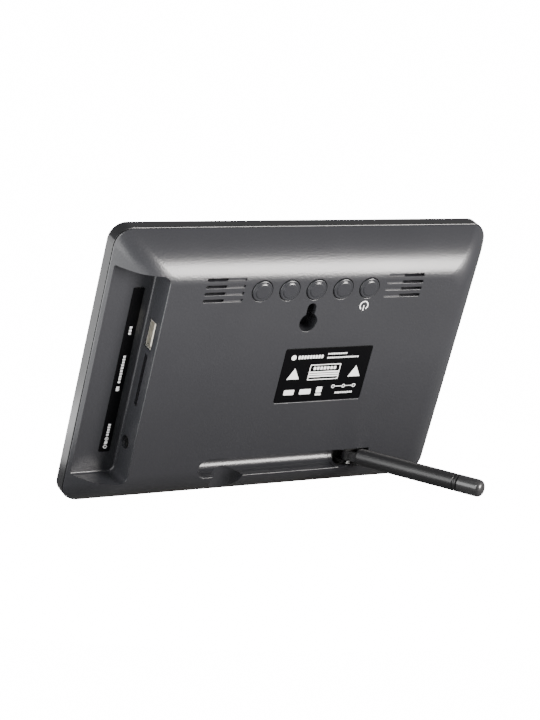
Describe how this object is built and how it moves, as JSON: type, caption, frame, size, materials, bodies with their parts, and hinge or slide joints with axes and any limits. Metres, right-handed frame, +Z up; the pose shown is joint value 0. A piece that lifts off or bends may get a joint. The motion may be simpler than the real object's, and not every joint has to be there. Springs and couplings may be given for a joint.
{
  "type": "digital photo frame",
  "caption": "Tabletop digital photo frame: glossy bezel, sloped rear cover with button row, speaker grilles, wall keyhole and side socket recess, and a round leg that folds into a groove.",
  "frame": {"origin": "middle of the object's footprint on the table, with the frame standing on its bottom edge and its leg", "axes": "+Z up, the screen faces -Y and leans back, +X along the width towards the side with the sockets"},
  "size_m": [0.194, 0.0864, 0.1256],
  "materials": {
    "gloss_black": "high gloss moulded",
    "graphite_plastic": "satin moulded, dark graphite",
    "button_plastic": "satin moulded",
    "black_plastic": "fine matt moulded",
    "leg_plastic": "satin moulded",
    "leg_rubber": "smooth soft rubber",
    "foam": "closed-cell foam strip",
    "panel_glass": "dark display glass, unlit",
    "diffuser_white": "white diffuser",
    "steel": "plain sheet and turned steel",
    "can_aluminium": "drawn can",
    "circuit_board": "green solder mask",
    "chip_epoxy": "moulded epoxy",
    "ferrite": "sintered ferrite",
    "socket_white": "off-white moulded",
    "label_black": "printed film, black with plain white marks",
    "ribbon_grey": "flat ribbon",
    "flex_amber": "polyimide film",
    "speaker_paper": "pressed paper cone"
  },
  "bodies": {
    "case": {"front_bezel": "gloss_black", "display_gasket": "foam", "lcd_panel": "panel_glass", "lcd_backlight": "diffuser_white", "lcd_tray": "steel", "display_clamp_top": "steel", "display_clamp_bottom": "steel", "rear_cover": "graphite_plastic", "rating_label": "label_black", "port_label": "label_black", "key_board": "circuit_board", "main_board": "circuit_board", "key_cable": "ribbon_grey", "display_flex": "flex_amber", "speaker_left_basket": "black_plastic", "speaker_right_basket": "black_plastic", "speaker_left_cone": "speaker_paper", "speaker_right_cone": "speaker_paper", "speaker_left_lead": "black_plastic", "speaker_right_lead": "black_plastic", "processor": "chip_epoxy", "memory_chip": "chip_epoxy", "flash_chip": "chip_epoxy", "audio_amplifier": "chip_epoxy", "power_inductor": "ferrite", "crystal": "can_aluminium", "capacitor_input": "can_aluminium", "capacitor_output": "can_aluminium", "usb_shell": "steel", "usb_tongue": "socket_white", "card_socket": "black_plastic", "dc_jack_body": "black_plastic", "dc_jack_pin": "steel", "leg_cradle": "black_plastic", "hinge_pin": "steel", "switch_menu": "black_plastic", "switch_previous": "black_plastic", "switch_select": "black_plastic", "switch_next": "black_plastic", "switch_power": "black_plastic", "clamp_screw_top_1": "steel", "clamp_screw_top_2": "steel", "clamp_screw_bottom_1": "steel", "clamp_screw_bottom_2": "steel", "key_board_screw_1": "steel", "cradle_screw_1": "steel", "key_board_screw_2": "steel", "cradle_screw_2": "steel", "main_board_screw_1": "steel", "main_board_screw_2": "steel", "main_board_screw_3": "steel"},
    "leg": {"leg_barrel": "leg_plastic", "leg_tip": "leg_rubber"},
    "menu_button": {"button_menu": "button_plastic"},
    "previous_button": {"button_previous": "button_plastic"},
    "select_button": {"button_select": "button_plastic"},
    "next_button": {"button_next": "button_plastic"},
    "power_button": {"button_power": "button_plastic"}
  },
  "joints": [
    {"name": "leg_swing", "type": "hinge", "parent": "case", "child": "leg", "pos_m": [-0.045, -0.01894, 0.01418], "axis": [0, -0.1689, -0.9856], "range_deg": [0, 118]},
    {"name": "menu_press", "type": "slide", "parent": "case", "child": "menu_button", "axis": [0, -0.9169, 0.3991], "range_m": [0, 0.0005], "stiffness_N_per_m": 1200},
    {"name": "previous_press", "type": "slide", "parent": "case", "child": "previous_button", "axis": [0, -0.9169, 0.3991], "range_m": [0, 0.0005], "stiffness_N_per_m": 1200},
    {"name": "select_press", "type": "slide", "parent": "case", "child": "select_button", "axis": [0, -0.9169, 0.3991], "range_m": [0, 0.0005], "stiffness_N_per_m": 1200},
    {"name": "next_press", "type": "slide", "parent": "case", "child": "next_button", "axis": [0, -0.9169, 0.3991], "range_m": [0, 0.0005], "stiffness_N_per_m": 1200},
    {"name": "power_press", "type": "slide", "parent": "case", "child": "power_button", "axis": [0, -0.9169, 0.3991], "range_m": [0, 0.0005], "stiffness_N_per_m": 1200}
  ]
}
